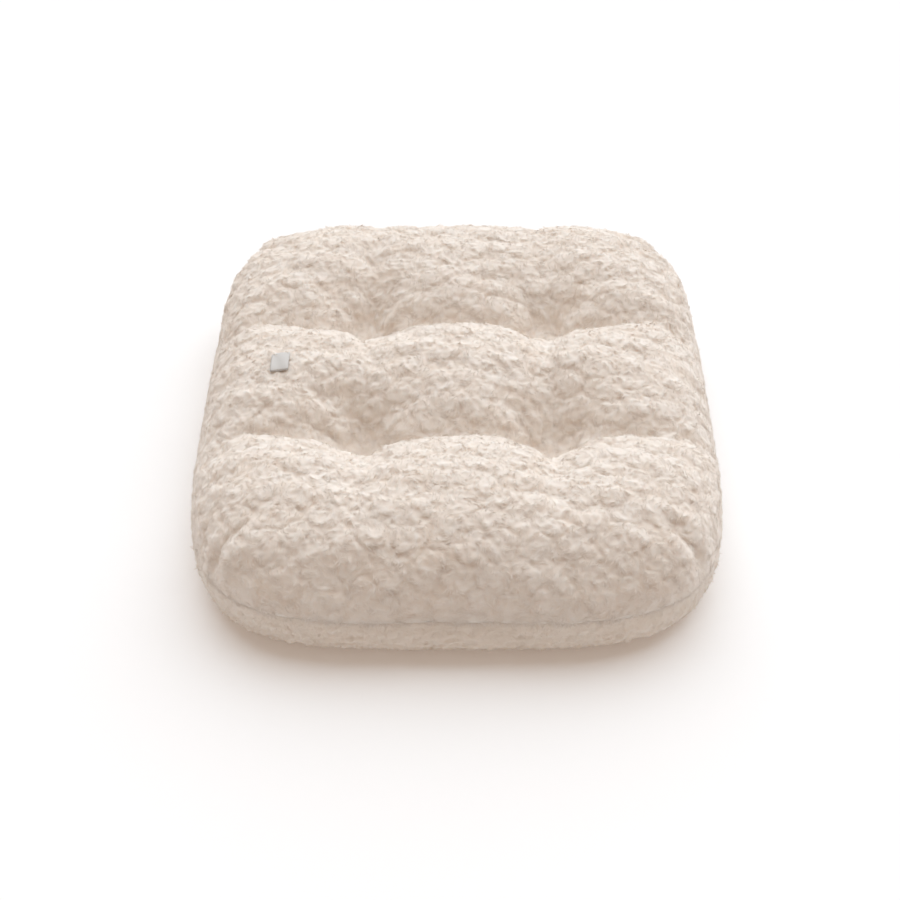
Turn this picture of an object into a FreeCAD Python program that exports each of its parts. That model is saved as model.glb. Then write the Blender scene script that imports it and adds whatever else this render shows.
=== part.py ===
"""Pet cushion bed: a stuffed, tufted floor cushion in plush, built as separate sewn pieces.

Millimetres, +Z up, front towards -Y. The origin is the middle of the face that rests on the floor.
A thick plush panel makes the top and the sides, a thin fleece panel makes the underside, and they
meet in one seam halfway up the side, with their edges turned inside. Loose fibre fills them. Four
thread ties pull the top down into pits, a dart takes in the plush at each corner, and the gap left
in the rear of the seam for stuffing is closed by hand. A small blank label is sewn on the top.
"""

import FreeCAD, Part
import math
import os

import Sketcher
from FreeCAD import Placement, Rotation, Vector

OUT_FOLDER = "parts"

# Driving dimensions: name, value in mm (or degrees for a slope), meaning.
SIZES = [
    ("cushion_width", 450, "overall width, left to right"),
    ("cushion_depth", 550, "overall depth, front to back"),
    ("cushion_height", 115, "overall height"),
    ("plan_corner", 140, "corner radius of the outline seen from above"),
    ("crown_radius", "=cushion_height * 12 / 23", "rounding from the top into the side"),
    ("foot_radius", "=cushion_height * 10 / 23", "rounding from the side into the underside"),
    ("plush_thickness", 9, "plush panel, backing and pile together"),
    ("fleece_thickness", 4, "underside panel"),
    ("fill_clearance", 0.4, "between the fibre and every sewn piece"),
    ("stitch_room", 1, "room in the fibre round turned-in cloth and its stitches"),
    ("seam_height", 48, "side seam above the floor"),
    ("seam_allowance", 10, "cloth turned inside along the seam, past the panels' inner faces"),
    ("allowance_cloth", 2, "one layer of cloth turned inside"),
    ("seam_thread_radius", 0.5, "sewing thread"),
    ("stitch_proud", 0.6, "how far a stitch stands out of the cloth it holds"),
    ("thread_clearance", 0.1, "round a thread where it goes through cloth"),
    ("stuffing_gap", 150, "stretch of the rear seam that is closed by hand"),
    ("tuft_spacing_x", 160, "between ties, left to right"),
    ("tuft_spacing_y", 164, "between ties, front to back"),
    ("pit_floor", 52, "height of the bottom of a pit in the top"),
    ("pit_foot_radius", 11, "radius of a pit where its floor and its slope would meet"),
    ("pit_floor_round", 10, "rounding at the bottom of a pit"),
    ("pit_lip_round", 40, "rounding at the mouth of a pit"),
    ("pit_slope", 58, "slope of a pit's side, in degrees"),
    ("pit_column_radius", 30, "round each tie, where the plush goes lower than the side seam"),
    ("hollow_depth", 12, "depth of the hollow under the cushion at a tie"),
    ("hollow_radius", 8, "radius of that hollow where its roof and its slope would meet"),
    ("hollow_roof_round", 5, "rounding at the roof of that hollow"),
    ("hollow_lip_round", 12, "rounding at the mouth of that hollow"),
    ("hollow_slope", 30, "slope of that hollow's side, in degrees"),
    ("tie_radius", 0.8, "tie thread"),
    ("tie_span", 6, "between the two legs of one tie"),
    ("tie_knot_radius", 2.2, "knot of a tie, in the hollow under the cushion"),
    ("dart_top", 80, "height at which a corner dart ends"),
    ("dart_depth", 14, "how far a dart's cloth reaches inside"),
    ("dart_stitch_rise", 6, "from the side seam up to a dart's lowest stitch"),
    ("dart_stitch_inset", 4, "from the dart's inner edge to its stitches"),
    ("label_width", 16, "woven label, left to right"),
    ("label_depth", 26, "woven label, front to back"),
    ("label_thickness", 0.8, "woven label"),
    ("label_left", 154, "middle of the label, left of the cushion's middle"),
    ("label_behind", -3, "middle of the label, behind the cushion's middle"),
    ("label_sink", 6, "how deep the label lies in the pile"),
    ("label_margin", 1.5, "from the label's edge to its stitches, and to the pile"),
    ("label_stitch_radius", 0.25, "thread of the label's stitches"),
    ("label_stitch_reach", 1, "how far a label stitch goes into the plush backing"),
]

COUNTS = {"closing": 22, "dart": 6, "label": 6}
LEFT_RIGHT = (("left", -1), ("right", 1))
FRONT_REAR = (("front", -1), ("rear", 1))
FAR = 2000.0  # longer than any cushion, for the slabs that split it at the seam

SEAM_INSET = ("(Sizes.foot_radius - sqrt(Sizes.foot_radius ^ 2"
              " - (Sizes.foot_radius - Sizes.seam_height) ^ 2))")
RING_START = f"({SEAM_INSET} + 0.75 * Sizes.fleece_thickness)"
SEAM_LINE = f"({SEAM_INSET} + 1.45 * Sizes.plush_thickness)"
ALLOWANCE_END = f"({SEAM_INSET} + 1.25 * Sizes.plush_thickness + Sizes.seam_allowance)"
PIT_RUN = "((Sizes.cushion_height - Sizes.pit_floor) / tan(Sizes.pit_slope * 1 deg))"
HOLLOW_RUN = "(Sizes.hollow_depth / tan(Sizes.hollow_slope * 1 deg))"


def make_sheet(doc):
    """The spreadsheet that drives the model: a name, a value and a note on each row."""
    sheet = doc.addObject("Spreadsheet::Sheet", "Sizes")
    for row, (name, value, note) in enumerate(SIZES, start=1):
        sheet.set(f"A{row}", name)
        sheet.set(f"B{row}", str(value))
        sheet.set(f"C{row}", note)
        sheet.setAlias(f"B{row}", name)
    doc.recompute()
    return sheet


def value_of(sheet, expression):
    """The number an expression over the sheet has now."""
    return float(sheet.evalExpression(expression.replace("Sizes.", "")))


def bind(sketch, name, constraint, expression):
    """Adds a dimension to a sketch and binds it to an expression over the sheet."""
    index = sketch.addConstraint(constraint)
    sketch.renameConstraint(index, name)
    sketch.setExpression(f"Constraints.{name}", expression)


def sketch_on(body, name, role, height=None):
    """A sketch on one of the body's own origin planes, lifted by an expression if one is given."""
    sketch = body.newObject("Sketcher::SketchObject", name)
    plane = next(f for f in body.Origin.OriginFeatures if f.Role == role)
    sketch.AttachmentSupport = [(plane, "")]
    sketch.MapMode = "FlatFace"
    if height is not None:
        sketch.setExpression("AttachmentOffset.Base.z", height)
    return sketch


def outline(doc, sheet, body, name, inset, height):
    """A sketch of the cushion's plan outline, drawn in by an inset, at a height."""
    sketch = sketch_on(body, name, "XY_Plane", height)
    shrink = value_of(sheet, inset)
    half_x = value_of(sheet, "Sizes.cushion_width") / 2 - shrink
    half_y = value_of(sheet, "Sizes.cushion_depth") / 2 - shrink
    radius = value_of(sheet, "Sizes.plan_corner") - shrink
    in_x, in_y = half_x - radius, half_y - radius
    lines = (
        ((-in_x, -half_y), (in_x, -half_y)),
        ((half_x, -in_y), (half_x, in_y)),
        ((in_x, half_y), (-in_x, half_y)),
        ((-half_x, in_y), (-half_x, -in_y)),
    )
    for start, end in lines:
        sketch.addGeometry(Part.LineSegment(Vector(*start, 0), Vector(*end, 0)))
    centres = ((in_x, -in_y), (in_x, in_y), (-in_x, in_y), (-in_x, -in_y))
    for turn, centre in enumerate(centres):
        first = math.radians(90 * turn - 90)
        circle = Part.Circle(Vector(*centre, 0), Vector(0, 0, 1), radius)
        sketch.addGeometry(Part.ArcOfCircle(circle, first, first + math.pi / 2))
    for side in range(4):
        sketch.addConstraint(Sketcher.Constraint("Tangent", side, 2, 4 + side, 1))
        sketch.addConstraint(Sketcher.Constraint("Tangent", 4 + side, 2, (side + 1) % 4, 1))
        if side:
            sketch.addConstraint(Sketcher.Constraint("Equal", 4, 4 + side))
    sketch.addConstraint(Sketcher.Constraint("Horizontal", 0))
    sketch.addConstraint(Sketcher.Constraint("Symmetric", 4, 3, 6, 3, -1, 1))
    bind(sketch, "corner", Sketcher.Constraint("Radius", 4, radius), f"Sizes.plan_corner - {inset}")
    bind(sketch, "across", Sketcher.Constraint("DistanceX", 3, 1, 1, 1, 2 * half_x),
         f"Sizes.cushion_width - 2 * {inset}")
    bind(sketch, "along", Sketcher.Constraint("DistanceY", 0, 1, 2, 1, 2 * half_y),
         f"Sizes.cushion_depth - 2 * {inset}")
    doc.recompute()
    return sketch


def slab(doc, sheet, name, inset, low, thickness):
    """A straight-sided slab of the plan outline, drawn in by an inset."""
    body = doc.addObject("PartDesign::Body", name)
    profile = outline(doc, sheet, body, f"{name}_outline", inset, low)
    pad = body.newObject("PartDesign::Pad", f"{name}_pad")
    pad.Profile = profile
    pad.setExpression("Length", thickness)
    doc.recompute()
    return body


def edges_at(shape, height, closed_only):
    """Names of the edges that lie wholly at one height, or only of those that are whole circles."""
    names = []
    for number, edge in enumerate(shape.Edges, start=1):
        box = edge.BoundBox
        level = abs(box.ZMin - height) < 1e-3 and abs(box.ZMax - height) < 1e-3
        if level and (edge.isClosed() or not closed_only):
            names.append(f"Edge{number}")
    return names


def round_edges(doc, sheet, body, name, height, radius, closed_only):
    """Fillets the body's edges at one height with a radius bound to an expression."""
    base = body.Tip
    fillet = body.newObject("PartDesign::Fillet", name)
    fillet.Base = (base, edges_at(base.Shape, value_of(sheet, height), closed_only))
    fillet.setExpression("Radius", radius)
    doc.recompute()


def cut_cone(body, name, at_x, at_y, low, low_radius, high_radius, height):
    """Takes an upright cone out of a body; every size and place is an expression."""
    cone = body.newObject("PartDesign::SubtractiveCone", name)
    plane = next(f for f in body.Origin.OriginFeatures if f.Role == "XY_Plane")
    cone.AttachmentSupport = [(plane, "")]
    cone.MapMode = "FlatFace"
    bindings = {
        "AttachmentOffset.Base.x": at_x,
        "AttachmentOffset.Base.y": at_y,
        "AttachmentOffset.Base.z": low,
        "Radius1": low_radius,
        "Radius2": high_radius,
        "Height": height,
    }
    for target, expression in bindings.items():
        cone.setExpression(target, expression)


def tuft_places():
    """Name, x and y of each tie, the last two as expressions."""
    for row, row_sign in FRONT_REAR:
        for side, side_sign in LEFT_RIGHT:
            at_x = f"{side_sign} * Sizes.tuft_spacing_x / 2"
            at_y = f"{row_sign} * Sizes.tuft_spacing_y / 2"
            yield f"{row}_{side}", at_x, at_y


def cushion_form(doc, sheet, name, inset):
    """The whole cushion's outside, or the same shape an even distance further in."""
    body = slab(doc, sheet, name, inset, inset, f"Sizes.cushion_height - 2 * {inset}")
    top = f"Sizes.cushion_height - {inset}"
    round_edges(doc, sheet, body, f"{name}_crown", top, f"Sizes.crown_radius - {inset}", False)
    round_edges(doc, sheet, body, f"{name}_foot", inset, f"Sizes.foot_radius - {inset}", False)
    pit_foot = f"Sizes.pit_foot_radius + {inset} * tan(Sizes.pit_slope * 0.5 deg)"
    hollow_foot = f"Sizes.hollow_radius + {inset} * tan(Sizes.hollow_slope * 0.5 deg)"
    for place, at_x, at_y in tuft_places():
        cut_cone(body, f"{name}_pit_{place}", at_x, at_y, f"Sizes.pit_floor - {inset}",
                 pit_foot, f"{pit_foot} + {PIT_RUN}", "Sizes.cushion_height - Sizes.pit_floor")
        cut_cone(body, f"{name}_hollow_{place}", at_x, at_y, inset,
                 f"{hollow_foot} + {HOLLOW_RUN}", hollow_foot, "Sizes.hollow_depth")
    doc.recompute()
    round_edges(doc, sheet, body, f"{name}_pit_lips", top, f"Sizes.pit_lip_round - {inset}", True)
    round_edges(doc, sheet, body, f"{name}_pit_floors", f"Sizes.pit_floor - {inset}",
                f"Sizes.pit_floor_round + {inset}", True)
    round_edges(doc, sheet, body, f"{name}_hollow_lips", inset,
                f"Sizes.hollow_lip_round - {inset}", True)
    round_edges(doc, sheet, body, f"{name}_hollow_roofs", f"Sizes.hollow_depth + {inset}",
                f"Sizes.hollow_roof_round + {inset}", True)
    return body


def pit_columns(doc):
    """Upright columns round the ties, in which all cloth down to the pits' floors is plush."""
    columns = []
    low = "Sizes.pit_floor - Sizes.plush_thickness - Sizes.fill_clearance - 1"
    for tuft, at_x, at_y in tuft_places():
        columns.append(rod(doc, f"pit_column_{tuft}", "Sizes.pit_column_radius",
                           "Sizes.cushion_height", (at_x, at_y, low)))
    return columns


def place(thing, turn, base):
    """Turns a solid and binds the place of its origin to three expressions."""
    thing.Placement = Placement(Vector(0, 0, 0), turn)
    for axis, expression in zip("xyz", base):
        thing.setExpression(f"Placement.Base.{axis}", expression)
    return thing


def box(doc, name, size, base, turn=Rotation()):
    """A box; its three sides and the place of its first corner are expressions."""
    block = doc.addObject("Part::Box", name)
    for side, expression in zip(("Length", "Width", "Height"), size):
        block.setExpression(side, expression)
    return place(block, turn, base)


def rod(doc, name, radius, length, base, turn=Rotation()):
    """A cylinder from its base centre; its radius, its length and its place are expressions."""
    cylinder = doc.addObject("Part::Cylinder", name)
    cylinder.setExpression("Radius", radius)
    cylinder.setExpression("Height", length)
    return place(cylinder, turn, base)


def ball(doc, name, radius, base):
    """A sphere; its radius and its centre are expressions."""
    sphere = doc.addObject("Part::Sphere", name)
    sphere.setExpression("Radius", radius)
    return place(sphere, Rotation(), base)


def joined(doc, kind, name, members):
    """A Part::MultiFuse, Part::MultiCommon or Part::Compound of several things."""
    result = doc.addObject(kind, name)
    if kind == "Part::Compound":
        result.Links = members
    else:
        result.Shapes = members
    return result


def less(doc, name, base, tool):
    """One thing with another cut out of it."""
    result = doc.addObject("Part::Cut", name)
    result.Base = base
    result.Tool = tool
    return result


def seam_ring(doc, sheet, name, low, thickness, outer, inner):
    """A level band of cloth that follows the outline between two insets."""
    whole = slab(doc, sheet, f"{name}_whole", outer, low, thickness)
    middle = slab(doc, sheet, f"{name}_middle", inner, low, thickness)
    return less(doc, name, whole, middle)


def seam_cord(doc, sheet, name, radius):
    """The round line of the seam thread, all the way round the cushion at the seam."""
    body = doc.addObject("PartDesign::Body", name)
    path = outline(doc, sheet, body, f"{name}_path", SEAM_LINE, "Sizes.seam_height")
    profile = sketch_on(body, f"{name}_profile", "YZ_Plane")
    at_y = value_of(sheet, SEAM_LINE) - value_of(sheet, "Sizes.cushion_depth") / 2
    centre = Vector(at_y, value_of(sheet, "Sizes.seam_height"), 0)
    profile.addGeometry(Part.Circle(centre, Vector(0, 0, 1), value_of(sheet, radius)))
    bind(profile, "thick", Sketcher.Constraint("Radius", 0, value_of(sheet, radius)), radius)
    bind(profile, "back", Sketcher.Constraint("DistanceX", 0, 3, -1, 1, -at_y),
         f"Sizes.cushion_depth / 2 - {SEAM_LINE}")
    bind(profile, "up", Sketcher.Constraint("DistanceY", -1, 1, 0, 3, centre.y), "Sizes.seam_height")
    doc.recompute()
    pipe = body.newObject("PartDesign::AdditivePipe", f"{name}_pipe")
    pipe.Profile = profile
    pipe.Spine = path
    doc.recompute()
    return body


def closing_stitches(doc, name, grow):
    """The hand stitches of the stuffing gap, upright through both turned-in edges."""
    stitches = []
    reach = "(Sizes.allowance_cloth + Sizes.stitch_proud)"
    for number in range(COUNTS["closing"]):
        share = (number + 0.5) / COUNTS["closing"] - 0.5
        base = (
            f"{share} * Sizes.stuffing_gap",
            f"Sizes.cushion_depth / 2 - {SEAM_LINE}",
            f"Sizes.seam_height - {reach}",
        )
        stitches.append(rod(doc, f"{name}_{number}", f"Sizes.seam_thread_radius + {grow}",
                            f"2 * {reach}", base))
    return joined(doc, "Part::Compound", name, stitches)


class Tie:
    """One tuft's thread: two legs through the cushion, a bar in the pit and a knot underneath."""

    TOP = "(Sizes.pit_floor + Sizes.tie_radius + Sizes.thread_clearance)"
    LOW = "(Sizes.hollow_depth - Sizes.tie_radius - Sizes.thread_clearance)"

    def __init__(self, doc, tuft, at_x, at_y):
        self.doc, self.tuft, self.at_x, self.at_y = doc, tuft, at_x, at_y

    def leg_x(self, sign):
        """The x of one leg."""
        return f"{self.at_x} + {sign} * Sizes.tie_span / 2"

    def channels(self):
        """The two ways through the cloth and the fibre that the legs take."""
        rods = []
        for side, sign in LEFT_RIGHT:
            base = (self.leg_x(sign), self.at_y, self.LOW)
            rods.append(rod(self.doc, f"tie_way_{self.tuft}_{side}",
                            "Sizes.tie_radius + Sizes.thread_clearance",
                            f"{self.TOP} - {self.LOW}", base))
        return rods

    def build(self):
        """The thread itself, one solid."""
        members = []
        for side, sign in LEFT_RIGHT:
            base = (self.leg_x(sign), self.at_y, self.LOW)
            members.append(rod(self.doc, f"tie_leg_{self.tuft}_{side}", "Sizes.tie_radius",
                               f"{self.TOP} - {self.LOW}", base))
            for level, height in (("top", self.TOP), ("low", self.LOW)):
                members.append(ball(self.doc, f"tie_turn_{self.tuft}_{side}_{level}",
                                    "Sizes.tie_radius", (self.leg_x(sign), self.at_y, height)))
        lying = Rotation(Vector(0, 1, 0), 90)
        for level, height in (("top", self.TOP), ("low", self.LOW)):
            members.append(rod(self.doc, f"tie_bar_{self.tuft}_{level}", "Sizes.tie_radius",
                               "Sizes.tie_span", (self.leg_x(-1), self.at_y, height), lying))
        knot = f"{self.LOW} + Sizes.tie_radius - Sizes.tie_knot_radius"
        members.append(ball(self.doc, f"tie_knot_{self.tuft}", "Sizes.tie_knot_radius",
                            (self.at_x, self.at_y, knot)))
        return joined(self.doc, "Part::MultiFuse", f"tuft_tie_{self.tuft}", members)


class Dart:
    """The tuck sewn into the plush at one corner: a fin of folded cloth inside, and its stitches."""

    FIN_THICKNESS = "(2 * Sizes.allowance_cloth)"
    OUTER = "(Sizes.plan_corner - Sizes.plush_thickness + 1)"
    INNER = "(Sizes.plan_corner - Sizes.plush_thickness - Sizes.dart_depth)"
    LOW = "(Sizes.seam_height + Sizes.dart_stitch_rise)"

    def __init__(self, doc, corner, row_sign, side_sign):
        self.doc, self.corner = doc, corner
        self.side_sign, self.row_sign = side_sign, row_sign
        self.angle = math.degrees(math.atan2(row_sign, side_sign))
        self.turn = Rotation(Vector(0, 0, 1), self.angle)

    def point(self, outwards, sideways, height):
        """Three expressions for a point given by its distances along and across the dart."""
        cos, sin = (round(f(math.radians(self.angle)), 9) for f in (math.cos, math.sin))
        return (
            f"{self.side_sign} * (Sizes.cushion_width / 2 - Sizes.plan_corner)"
            f" + {outwards} * {cos} - ({sideways}) * {sin}",
            f"{self.row_sign} * (Sizes.cushion_depth / 2 - Sizes.plan_corner)"
            f" + {outwards} * {sin} + ({sideways}) * {cos}",
            height,
        )

    def block(self, name, room):
        """The fin, or the slot it needs when room is more than nothing."""
        thickness = f"({self.FIN_THICKNESS} + 2 * {room})"
        base = self.point(f"({self.INNER} - {room})", f"-{thickness} / 2", "Sizes.seam_height")
        size = (f"{self.OUTER} - {self.INNER} + {room}", thickness,
                f"Sizes.dart_top - Sizes.seam_height + {room}")
        return box(self.doc, f"{name}_{self.corner}", size, base, self.turn)

    def stitches(self, name, grow):
        """The dart's stitches, straight through the fin."""
        across = Rotation(Vector(0, 0, 1), self.angle) * Rotation(Vector(1, 0, 0), -90)
        reach = f"({self.FIN_THICKNESS} / 2 + Sizes.stitch_proud)"
        members = []
        for number in range(COUNTS["dart"]):
            share = number / COUNTS["dart"]
            height = f"{self.LOW} + {share} * (Sizes.dart_top - {self.LOW})"
            base = self.point(f"({self.INNER} + Sizes.dart_stitch_inset)", f"-{reach}", height)
            members.append(rod(self.doc, f"{name}_{self.corner}_{number}",
                               f"Sizes.seam_thread_radius + {grow}", f"2 * {reach}", base, across))
        return joined(self.doc, "Part::Compound", f"{name}_{self.corner}", members)


def label_box(doc, name, margin, low, height):
    """A box round the label's place, wider than the label by a margin on every side."""
    size = (f"Sizes.label_width + 2 * {margin}", f"Sizes.label_depth + 2 * {margin}", height)
    base = (
        f"-Sizes.label_left - Sizes.label_width / 2 - {margin}",
        f"Sizes.label_behind - Sizes.label_depth / 2 - {margin}",
        low,
    )
    return box(doc, name, size, base)


def label_stitches(doc, name, grow):
    """The stitches along the label's two short ends, down into the plush backing."""
    members = []
    low = "Sizes.cushion_height - Sizes.label_sink - Sizes.label_stitch_reach"
    length = "Sizes.label_stitch_reach + Sizes.label_thickness + Sizes.stitch_proud"
    for end, sign in FRONT_REAR:
        for number in range(COUNTS["label"]):
            share = (number + 0.5) / COUNTS["label"] - 0.5
            base = (
                f"-Sizes.label_left + {share} * Sizes.label_width",
                f"Sizes.label_behind + {sign} * (Sizes.label_depth / 2 - Sizes.label_margin)",
                low,
            )
            members.append(rod(doc, f"{name}_{end}_{number}", f"Sizes.label_stitch_radius + {grow}",
                               length, base))
    return joined(doc, "Part::Compound", name, members)


def build(doc):
    """Builds every piece and returns the ones to hand over, in order."""
    sheet = make_sheet(doc)
    outside = cushion_form(doc, sheet, "outside", "0")
    plush_inside = cushion_form(doc, sheet, "plush_inside", "Sizes.plush_thickness")
    fleece_inside = cushion_form(doc, sheet, "fleece_inside", "Sizes.fleece_thickness")
    fill_upper = cushion_form(doc, sheet, "fill_upper",
                              "(Sizes.plush_thickness + Sizes.fill_clearance)")
    fill_lower = cushion_form(doc, sheet, "fill_lower",
                              "(Sizes.fleece_thickness + Sizes.fill_clearance)")
    middle = (f"{-FAR / 2}", f"{-FAR / 2}")
    above = box(doc, "above_seam", (f"{FAR}", f"{FAR}", f"{FAR}"), (*middle, "Sizes.seam_height"))
    below = box(doc, "below_seam", (f"{FAR}", f"{FAR}", f"{FAR}"),
                (*middle, f"Sizes.seam_height - {FAR}"))

    columns = pit_columns(doc)
    above = joined(doc, "Part::MultiFuse", "plush_region", [above] + columns)
    below = less(doc, "fleece_region", below, joined(doc, "Part::MultiFuse", "columns", columns))

    ties = [Tie(doc, *place_of) for place_of in tuft_places()]
    darts = [
        Dart(doc, f"{row}_{side}", row_sign, side_sign)
        for row, row_sign in FRONT_REAR
        for side, side_sign in LEFT_RIGHT
    ]
    clearance = "Sizes.thread_clearance"
    tie_ways = [way for tie in ties for way in tie.channels()]
    seam_way = seam_cord(doc, sheet, "seam_way", f"Sizes.seam_thread_radius + {clearance}")
    closing_ways = closing_stitches(doc, "closing_ways", clearance)
    dart_ways = [dart.stitches("dart_ways", clearance) for dart in darts]
    label_ways = label_stitches(doc, "label_ways", clearance)
    label_bed = label_box(doc, "label_bed", "Sizes.label_margin",
                          "Sizes.cushion_height - Sizes.label_sink", "Sizes.label_sink + 1")

    plush_shell = less(doc, "plush_shell", joined(doc, "Part::MultiCommon", "plush_block",
                                                  [outside, above]), plush_inside)
    plush_edge = seam_ring(doc, sheet, "plush_edge", "Sizes.seam_height", "Sizes.allowance_cloth",
                           RING_START, ALLOWANCE_END)
    plush_sewn = joined(doc, "Part::MultiFuse", "plush_sewn",
                        [plush_shell, plush_edge] + [dart.block("fin", "0") for dart in darts])
    plush_ways = joined(doc, "Part::MultiFuse", "plush_ways",
                        tie_ways + [seam_way, closing_ways, label_ways, label_bed] + dart_ways)
    plush = less(doc, "plush_top_panel", plush_sewn, plush_ways)

    fleece_shell = less(doc, "fleece_shell", joined(doc, "Part::MultiCommon", "fleece_block",
                                                    [outside, below]), fleece_inside)
    fleece_edge = seam_ring(doc, sheet, "fleece_edge", "Sizes.seam_height - Sizes.allowance_cloth",
                            "Sizes.allowance_cloth", RING_START, ALLOWANCE_END)
    fleece_sewn = joined(doc, "Part::MultiFuse", "fleece_sewn", [fleece_shell, fleece_edge])
    fleece_ways = joined(doc, "Part::MultiFuse", "fleece_ways", tie_ways + [seam_way, closing_ways])
    fleece = less(doc, "fleece_base_panel", fleece_sewn, fleece_ways)

    fill_block = joined(doc, "Part::MultiFuse", "fill_block", [
        joined(doc, "Part::MultiCommon", "fill_above", [fill_upper, above]),
        joined(doc, "Part::MultiCommon", "fill_below", [fill_lower, below]),
    ])
    room = "(Sizes.allowance_cloth + Sizes.stitch_room)"
    edge_room = seam_ring(doc, sheet, "edge_room", f"Sizes.seam_height - {room}", f"2 * {room}",
                          "0", f"({ALLOWANCE_END} + Sizes.fill_clearance)")
    fill_ways = joined(doc, "Part::MultiFuse", "fill_ways", tie_ways + [edge_room] + [
        dart.block("slot", "Sizes.stitch_room") for dart in darts
    ])
    fill = less(doc, "fibre_fill", fill_block, fill_ways)

    thread_ring = seam_cord(doc, sheet, "seam_ring_thread", "Sizes.seam_thread_radius")
    gap = box(doc, "stuffing_opening", ("Sizes.stuffing_gap", f"{FAR}", f"{FAR}"),
              ("-Sizes.stuffing_gap / 2", "0", f"{-FAR / 2}"))
    seam_thread = less(doc, "side_seam_thread", thread_ring, gap)
    closing = closing_stitches(doc, "closing_thread", "0")
    label = less(doc, "woven_label", label_box(
        doc, "label_cloth", "0", "Sizes.cushion_height - Sizes.label_sink", "Sizes.label_thickness",
    ), label_ways)
    label_thread = label_stitches(doc, "label_thread", "0")
    return (
        [plush, fleece, fill, seam_thread, closing]
        + [tie.build() for tie in ties]
        + [dart.stitches("dart_thread", "0") for dart in darts]
        + [label, label_thread]
    )


def check(doc, pieces):
    """Stops the run if anything in the document failed or any piece is not a sound solid."""
    for thing in doc.Objects:
        if "Invalid" in thing.State or "Error" in thing.State:
            raise RuntimeError(f"{thing.Name} did not compute: {thing.State}")
    for piece in pieces:
        if piece.Shape.isNull() or not piece.Shape.isValid() or not piece.Shape.Solids:
            raise RuntimeError(f"{piece.Label} is not a sound solid")


def main():
    """Builds the cushion and writes one STEP file for each piece."""
    doc = FreeCAD.newDocument("pet_cushion_bed")
    pieces = build(doc)
    doc.recompute()
    check(doc, pieces)
    os.makedirs(OUT_FOLDER, exist_ok=True)
    for piece in pieces:
        piece.Shape.exportStep(f"{OUT_FOLDER}/{piece.Label}.step")
        size = piece.Shape.BoundBox
        print(f"{piece.Label}: {len(piece.Shape.Solids)} solid(s), volume {piece.Shape.Volume:.1f}, "
              f"{size.XLength:.1f} x {size.YLength:.1f} x {size.ZLength:.1f}")


main()
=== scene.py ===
"""Pet cushion bed: a tufted floor cushion in cream curled plush with a smooth fleece underside.

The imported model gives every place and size. The stuffed form is blown up like the real one, cut
along the side seam into the plush top and the fleece base, and then dressed: the plush gets its
curls, its loose locks and its small label, the fleece its nap.
"""

from __future__ import annotations

import logging
import math
from dataclasses import dataclass, field
from enum import Enum
from typing import Any, Union

import bpy
import numpy as np
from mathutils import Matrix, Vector, kdtree

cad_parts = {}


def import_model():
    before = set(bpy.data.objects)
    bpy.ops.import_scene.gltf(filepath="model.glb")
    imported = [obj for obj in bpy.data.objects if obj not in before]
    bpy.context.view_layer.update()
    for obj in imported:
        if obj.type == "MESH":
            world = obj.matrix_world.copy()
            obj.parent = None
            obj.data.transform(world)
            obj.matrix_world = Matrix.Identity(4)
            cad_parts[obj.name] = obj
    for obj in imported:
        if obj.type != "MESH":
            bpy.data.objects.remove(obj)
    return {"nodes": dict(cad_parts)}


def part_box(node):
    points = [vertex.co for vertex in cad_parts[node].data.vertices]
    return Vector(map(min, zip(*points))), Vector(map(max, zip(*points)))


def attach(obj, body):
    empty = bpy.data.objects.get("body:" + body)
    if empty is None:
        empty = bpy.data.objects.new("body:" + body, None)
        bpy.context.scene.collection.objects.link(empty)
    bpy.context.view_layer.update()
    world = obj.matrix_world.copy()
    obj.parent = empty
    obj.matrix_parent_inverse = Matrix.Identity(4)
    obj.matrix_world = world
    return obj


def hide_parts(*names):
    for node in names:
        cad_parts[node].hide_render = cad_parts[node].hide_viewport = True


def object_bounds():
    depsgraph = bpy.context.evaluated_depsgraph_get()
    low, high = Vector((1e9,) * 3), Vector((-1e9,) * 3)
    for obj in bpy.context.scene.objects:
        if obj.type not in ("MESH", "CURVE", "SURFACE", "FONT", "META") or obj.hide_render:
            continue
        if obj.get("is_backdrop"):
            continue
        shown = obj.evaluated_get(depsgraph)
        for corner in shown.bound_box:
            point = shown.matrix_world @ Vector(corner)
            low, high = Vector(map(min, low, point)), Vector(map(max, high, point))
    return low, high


LOG = logging.getLogger("pet_cushion_bed")
Colour = tuple[float, float, float]
MM = 0.001


# ---------------------------------------------------------------- shader maths


class Wire:
    """One output socket, with Python's operators standing for Math nodes."""

    def __init__(self, kit: "NodeKit", socket: bpy.types.NodeSocket) -> None:
        self.kit = kit
        self.socket = socket

    def _math(self, operation: str, first: "Value", second: "Value" = 0.0) -> "Wire":
        """Adds one Math node and returns its result."""
        return self.kit.node("ShaderNodeMath", {"operation": operation}, {0: first, 1: second})

    def __add__(self, other: "Value") -> "Wire":
        """Sum."""
        return self._math("ADD", self, other)

    def __sub__(self, other: "Value") -> "Wire":
        """Difference."""
        return self._math("SUBTRACT", self, other)

    def __rsub__(self, other: "Value") -> "Wire":
        """Difference from a plain number."""
        return self._math("SUBTRACT", other, self)

    def __mul__(self, other: "Value") -> "Wire":
        """Product."""
        return self._math("MULTIPLY", self, other)

    __radd__ = __add__
    __rmul__ = __mul__


Value = Union[Wire, float, int, tuple]


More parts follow.
